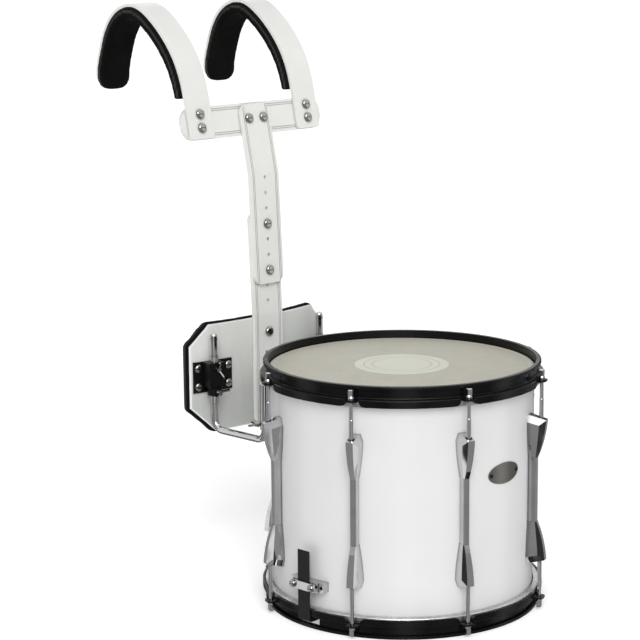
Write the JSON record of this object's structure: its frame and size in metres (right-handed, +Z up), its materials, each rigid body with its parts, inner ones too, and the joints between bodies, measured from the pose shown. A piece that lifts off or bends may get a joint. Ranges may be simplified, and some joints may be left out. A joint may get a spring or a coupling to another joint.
{
  "type": "marching snare drum with shoulder carrier",
  "caption": "Marching snare drum hung by two hooked rods from a T-bar shoulder carrier with a padded belly plate and two padded shoulder arches.",
  "frame": {"origin": "on the drum's axis, in the plane of the bottom hoop's lip on which the drum rests", "axes": "+Z up along the drum's axis; -Y is the drum's front with the badge; the carrier and the player are at +Y; -X is the player's right"},
  "size_m": [0.4074, 0.6613, 0.7996],
  "materials": {
    "white_lacquer": "gloss white lacquer over maple ply",
    "black_steel": "satin black powder coat",
    "head_film": "woven aramid film, fine matt",
    "flesh_aluminium": "satin",
    "lug_chrome": "bright plate",
    "insert_brass": "machined",
    "screw_steel": "zinc plate",
    "rod_chrome": "bright plate",
    "black_fittings": "matt black",
    "strap_plastic": "clear film with an olive cast",
    "snare_steel": "drawn wire",
    "black_brackets": "satin black paint",
    "white_aluminium": "white powder coat over aluminium",
    "pad_foam": "matt closed-cell foam"
  },
  "bodies": {
    "drum": {"shell": "white_lacquer", "top_hoop": "black_steel", "bottom_hoop": "black_steel", "batter_head": "head_film", "snare_side_head": "head_film", "batter_flesh_hoop": "flesh_aluminium", "snare_flesh_hoop": "flesh_aluminium", "lug_castings": "lug_chrome", "lug_bars": "lug_chrome", "lug_inserts": "insert_brass", "lug_screws": "screw_steel", "rod_washers": "screw_steel", "badge": "rod_chrome", "badge_rivets": "black_fittings", "vent_grommet": "black_fittings", "butt_plate": "black_steel", "butt_clamp": "black_steel", "butt_strap": "strap_plastic", "fitting_screws": "screw_steel", "hook_sockets": "lug_chrome", "throw_off_base": "lug_chrome"},
    "tension_rod_top_1_body": {"tension_rod_top_1": "rod_chrome"},
    "tension_rod_top_2_body": {"tension_rod_top_2": "rod_chrome"},
    "tension_rod_top_3_body": {"tension_rod_top_3": "rod_chrome"},
    "tension_rod_top_4_body": {"tension_rod_top_4": "rod_chrome"},
    "tension_rod_top_5_body": {"tension_rod_top_5": "rod_chrome"},
    "tension_rod_top_6_body": {"tension_rod_top_6": "rod_chrome"},
    "tension_rod_top_7_body": {"tension_rod_top_7": "rod_chrome"},
    "tension_rod_top_8_body": {"tension_rod_top_8": "rod_chrome"},
    "tension_rod_bottom_1_body": {"tension_rod_bottom_1": "rod_chrome"},
    "tension_rod_bottom_2_body": {"tension_rod_bottom_2": "rod_chrome"},
    "tension_rod_bottom_3_body": {"tension_rod_bottom_3": "rod_chrome"},
    "tension_rod_bottom_4_body": {"tension_rod_bottom_4": "rod_chrome"},
    "tension_rod_bottom_5_body": {"tension_rod_bottom_5": "rod_chrome"},
    "tension_rod_bottom_6_body": {"tension_rod_bottom_6": "rod_chrome"},
    "tension_rod_bottom_7_body": {"tension_rod_bottom_7": "rod_chrome"},
    "tension_rod_bottom_8_body": {"tension_rod_bottom_8": "rod_chrome"},
    "socket_wing_right": {"socket_wing_screw_right": "black_brackets"},
    "socket_wing_left": {"socket_wing_screw_left": "black_brackets"},
    "hooks": {"hook_rods": "rod_chrome"},
    "carrier": {"rod_guides": "rod_chrome", "guide_collars": "black_brackets", "rod_brackets": "black_brackets", "carrier_bolts": "screw_steel", "belly_plate": "white_aluminium", "belly_pad": "pad_foam", "lower_bar": "white_aluminium", "upper_bar": "white_aluminium", "crossbar": "white_aluminium", "shoulder_bands": "white_aluminium", "shoulder_pads": "pad_foam"},
    "bracket_wing_right": {"bracket_wing_screw_right": "black_brackets"},
    "bracket_wing_left": {"bracket_wing_screw_left": "black_brackets"},
    "collar_wing_right": {"collar_wing_screw_right": "black_brackets"},
    "collar_wing_left": {"collar_wing_screw_left": "black_brackets"},
    "lever": {"throw_off_lever": "rod_chrome"},
    "carriage": {"throw_off_carriage": "rod_chrome", "throw_off_strap": "strap_plastic"},
    "snares": {"snare_wires": "snare_steel"},
    "knob": {"throw_off_knob": "rod_chrome"}
  },
  "joints": [
    {"name": "tension_rod_top_1_turn", "type": "hinge", "parent": "drum", "child": "tension_rod_top_1_body", "pos_m": [0.17979, 0.07447, 0.32], "axis": [0, 0, 1], "continuous": true},
    {"name": "tension_rod_bottom_1_turn", "type": "hinge", "parent": "drum", "child": "tension_rod_bottom_1_body", "pos_m": [0.17979, 0.07447, 0.0136], "axis": [0, 0, -1], "continuous": true},
    {"name": "tension_rod_top_2_turn", "type": "hinge", "parent": "drum", "child": "tension_rod_top_2_body", "pos_m": [0.07447, 0.17979, 0.32], "axis": [0, 0, 1], "continuous": true},
    {"name": "tension_rod_bottom_2_turn", "type": "hinge", "parent": "drum", "child": "tension_rod_bottom_2_body", "pos_m": [0.07447, 0.17979, 0.0136], "axis": [0, 0, -1], "continuous": true},
    {"name": "tension_rod_top_3_turn", "type": "hinge", "parent": "drum", "child": "tension_rod_top_3_body", "pos_m": [-0.07447, 0.17979, 0.32], "axis": [0, 0, 1], "continuous": true},
    {"name": "tension_rod_bottom_3_turn", "type": "hinge", "parent": "drum", "child": "tension_rod_bottom_3_body", "pos_m": [-0.07447, 0.17979, 0.0136], "axis": [0, 0, -1], "continuous": true},
    {"name": "tension_rod_top_4_turn", "type": "hinge", "parent": "drum", "child": "tension_rod_top_4_body", "pos_m": [-0.17979, 0.07447, 0.32], "axis": [0, 0, 1], "continuous": true},
    {"name": "tension_rod_bottom_4_turn", "type": "hinge", "parent": "drum", "child": "tension_rod_bottom_4_body", "pos_m": [-0.17979, 0.07447, 0.0136], "axis": [0, 0, -1], "continuous": true},
    {"name": "tension_rod_top_5_turn", "type": "hinge", "parent": "drum", "child": "tension_rod_top_5_body", "pos_m": [-0.17979, -0.07447, 0.32], "axis": [0, 0, 1], "continuous": true},
    {"name": "tension_rod_bottom_5_turn", "type": "hinge", "parent": "drum", "child": "tension_rod_bottom_5_body", "pos_m": [-0.17979, -0.07447, 0.0136], "axis": [0, 0, -1], "continuous": true},
    {"name": "tension_rod_top_6_turn", "type": "hinge", "parent": "drum", "child": "tension_rod_top_6_body", "pos_m": [-0.07447, -0.17979, 0.32], "axis": [0, 0, 1], "continuous": true},
    {"name": "tension_rod_bottom_6_turn", "type": "hinge", "parent": "drum", "child": "tension_rod_bottom_6_body", "pos_m": [-0.07447, -0.17979, 0.0136], "axis": [0, 0, -1], "continuous": true},
    {"name": "tension_rod_top_7_turn", "type": "hinge", "parent": "drum", "child": "tension_rod_top_7_body", "pos_m": [0.07447, -0.17979, 0.32], "axis": [0, 0, 1], "continuous": true},
    {"name": "tension_rod_bottom_7_turn", "type": "hinge", "parent": "drum", "child": "tension_rod_bottom_7_body", "pos_m": [0.07447, -0.17979, 0.0136], "axis": [0, 0, -1], "continuous": true},
    {"name": "tension_rod_top_8_turn", "type": "hinge", "parent": "drum", "child": "tension_rod_top_8_body", "pos_m": [0.17979, -0.07447, 0.32], "axis": [0, 0, 1], "continuous": true},
    {"name": "tension_rod_bottom_8_turn", "type": "hinge", "parent": "drum", "child": "tension_rod_bottom_8_body", "pos_m": [0.17979, -0.07447, 0.0136], "axis": [0, 0, -1], "continuous": true},
    {"name": "socket_wing_right_turn", "type": "hinge", "parent": "drum", "child": "socket_wing_right", "pos_m": [-0.11088, 0.1637, 0.233], "axis": [-0.5608, 0.828, 0], "continuous": true},
    {"name": "socket_wing_left_turn", "type": "hinge", "parent": "drum", "child": "socket_wing_left", "pos_m": [0.11088, 0.1637, 0.233], "axis": [0.5608, 0.828, 0], "continuous": true},
    {"name": "hook_lift", "type": "slide", "parent": "drum", "child": "hooks", "axis": [0, 0, 1], "range_m": [-0.08, 0]},
    {"name": "carrier_height", "type": "slide", "parent": "hooks", "child": "carrier", "axis": [0, 0, 1], "range_m": [-0.018, 0.02]},
    {"name": "bracket_wing_right_turn", "type": "hinge", "parent": "carrier", "child": "bracket_wing_right", "pos_m": [-0.10749, 0.24888, 0.297], "axis": [-0.1914, -0.9815, 0], "continuous": true},
    {"name": "collar_wing_right_turn", "type": "hinge", "parent": "carrier", "child": "collar_wing_right", "pos_m": [-0.10796, 0.24643, 0.26515], "axis": [-0.1914, -0.9815, 0], "continuous": true},
    {"name": "bracket_wing_left_turn", "type": "hinge", "parent": "carrier", "child": "bracket_wing_left", "pos_m": [0.10749, 0.24888, 0.297], "axis": [0.1914, -0.9815, 0], "continuous": true},
    {"name": "collar_wing_left_turn", "type": "hinge", "parent": "carrier", "child": "collar_wing_left", "pos_m": [0.10796, 0.24643, 0.26515], "axis": [0.1914, -0.9815, 0], "continuous": true},
    {"name": "throw_off_lever_turn", "type": "hinge", "parent": "drum", "child": "lever", "pos_m": [0.193, 0, 0.108], "axis": [0, 1, 0], "range_deg": [0, 88]},
    {"name": "carriage_slide", "type": "slide", "parent": "drum", "child": "carriage", "axis": [0, 0, 1], "range_m": [-0.004, 0]},
    {"name": "snares_drop", "type": "hinge", "parent": "drum", "child": "snares", "pos_m": [-0.158, 0, 0.015], "axis": [0, 1, 0], "range_deg": [0, 0.72526]},
    {"name": "snare_knob_turn", "type": "hinge", "parent": "drum", "child": "knob", "pos_m": [0.1874, 0, 0.045], "axis": [0, 0, -1], "continuous": true}
  ],
  "couplings": [
    {"joint": "carriage_slide", "follows": "throw_off_lever_turn", "m_per_rad": -0.0026043},
    {"joint": "snares_drop", "follows": "throw_off_lever_turn", "ratio": 0.0082414}
  ]
}
